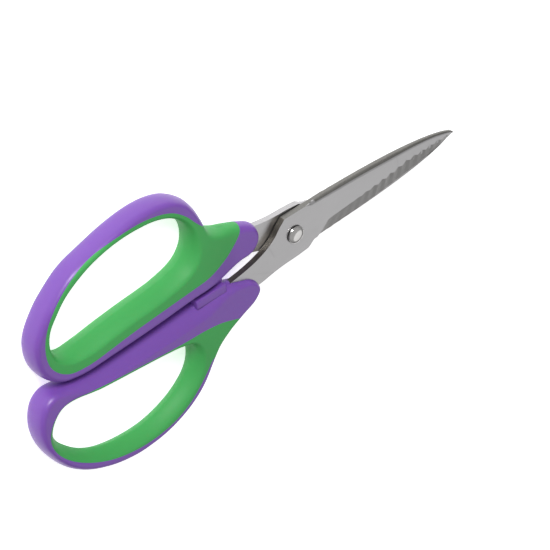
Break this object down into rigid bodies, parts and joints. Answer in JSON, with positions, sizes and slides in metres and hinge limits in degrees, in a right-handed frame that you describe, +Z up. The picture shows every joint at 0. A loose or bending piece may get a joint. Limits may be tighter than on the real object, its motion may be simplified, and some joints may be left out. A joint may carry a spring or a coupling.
{
  "type": "decorative edge scissors",
  "caption": "Pointed craft scissors with finely toothed blades on a domed rivet and closed two-tone handle loops with soft liners, lying closed.",
  "frame": {"origin": "centre of the whole object's box in X and Y, at the height of the surface that the closed scissors lie on", "axes": "+X towards the blade tips, +Y towards the loop of the handle whose blade lies underneath, +Z up, along the rivet's axis"},
  "size_m": [0.1906, 0.096, 0.012],
  "materials": {
    "blade_steel": "ground, satin",
    "rivet_steel": "polished",
    "washer_steel": "satin",
    "shell_plastic": "moulded, semi-gloss purple",
    "liner_rubber": "moulded, soft satin green"
  },
  "bodies": {
    "back_half": {"back_blade": "blade_steel", "back_handle_shell": "shell_plastic", "back_handle_liner": "liner_rubber", "pivot_rivet": "rivet_steel", "rivet_washer": "washer_steel"},
    "front_half": {"front_blade": "blade_steel", "front_handle_shell": "shell_plastic", "front_handle_liner": "liner_rubber"}
  },
  "joints": [
    {"name": "blade_pivot", "type": "hinge", "parent": "back_half", "child": "front_half", "pos_m": [0.02018, 0.00052, 0.006], "axis": [0, 0, 1], "range_deg": [0, 60]}
  ]
}
